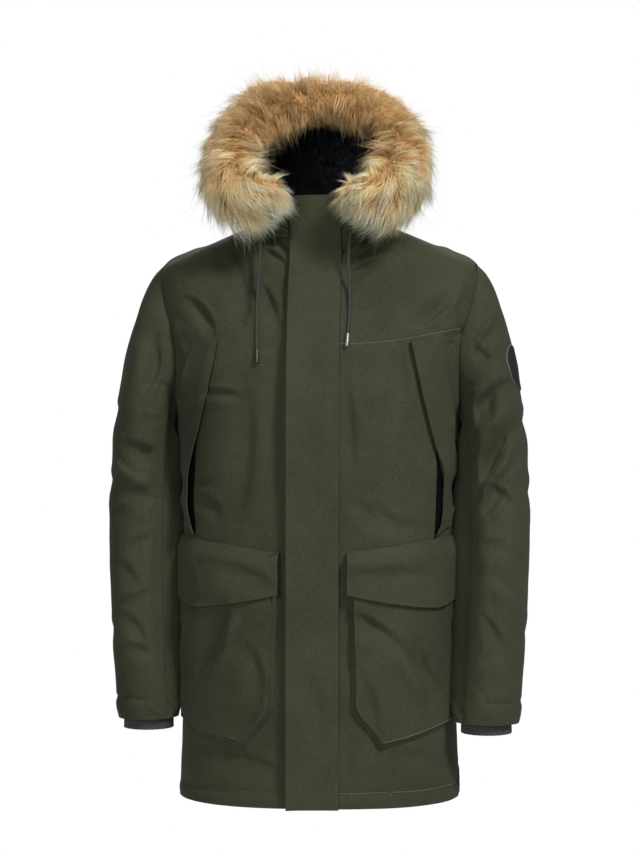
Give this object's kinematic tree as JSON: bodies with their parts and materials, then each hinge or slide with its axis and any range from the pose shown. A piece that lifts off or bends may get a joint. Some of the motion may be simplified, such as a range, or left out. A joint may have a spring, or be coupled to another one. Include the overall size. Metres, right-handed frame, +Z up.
{
  "type": "fur trimmed parka",
  "caption": "Hooded padded parka with fur ruff, storm flap, slanted chest pockets and bellows pockets, hollow as worn.",
  "frame": {"origin": "middle of the base of the neck, level with the inner ends of the shoulders, where the coat hangs on its wearer", "axes": "+Z up, the closed front faces -Y, +X towards the wearer's left"},
  "size_m": [0.625, 0.3448, 1.0797],
  "materials": {
    "shell_cloth": "matte plain weave, dark olive green",
    "rib_knit": "matte rib knit, dark green grey",
    "hood_pile": "short dark navy pile",
    "fur": "long tan imitation fur",
    "cord": "round braided cord, grey green",
    "cord_tip": "satin metal ferrule"
  },
  "bodies": {
    "root": {"front_left": "shell_cloth", "front_right": "shell_cloth", "yoke_left": "shell_cloth", "yoke_right": "shell_cloth", "back": "shell_cloth", "sleeve_top_left": "shell_cloth", "sleeve_top_right": "shell_cloth", "sleeve_under_left": "shell_cloth", "sleeve_under_right": "shell_cloth", "rib_cuff_left": "rib_knit", "rib_cuff_right": "rib_knit", "stand_collar": "shell_cloth", "collar_tab": "shell_cloth", "storm_flap": "shell_cloth", "chest_welt_left": "shell_cloth", "chest_welt_right": "shell_cloth", "pocket_bag_left": "shell_cloth", "pocket_bag_right": "shell_cloth", "pocket_gusset_left": "shell_cloth", "pocket_gusset_right": "shell_cloth", "pocket_flap_left": "shell_cloth", "pocket_flap_right": "shell_cloth", "hood_left": "shell_cloth", "hood_right": "shell_cloth", "hood_lining": "hood_pile", "fur_ruff": "fur", "drawcord_left": "cord", "drawcord_right": "cord", "cord_tip_left": "cord_tip", "cord_tip_right": "cord_tip"}
  },
  "joints": []
}
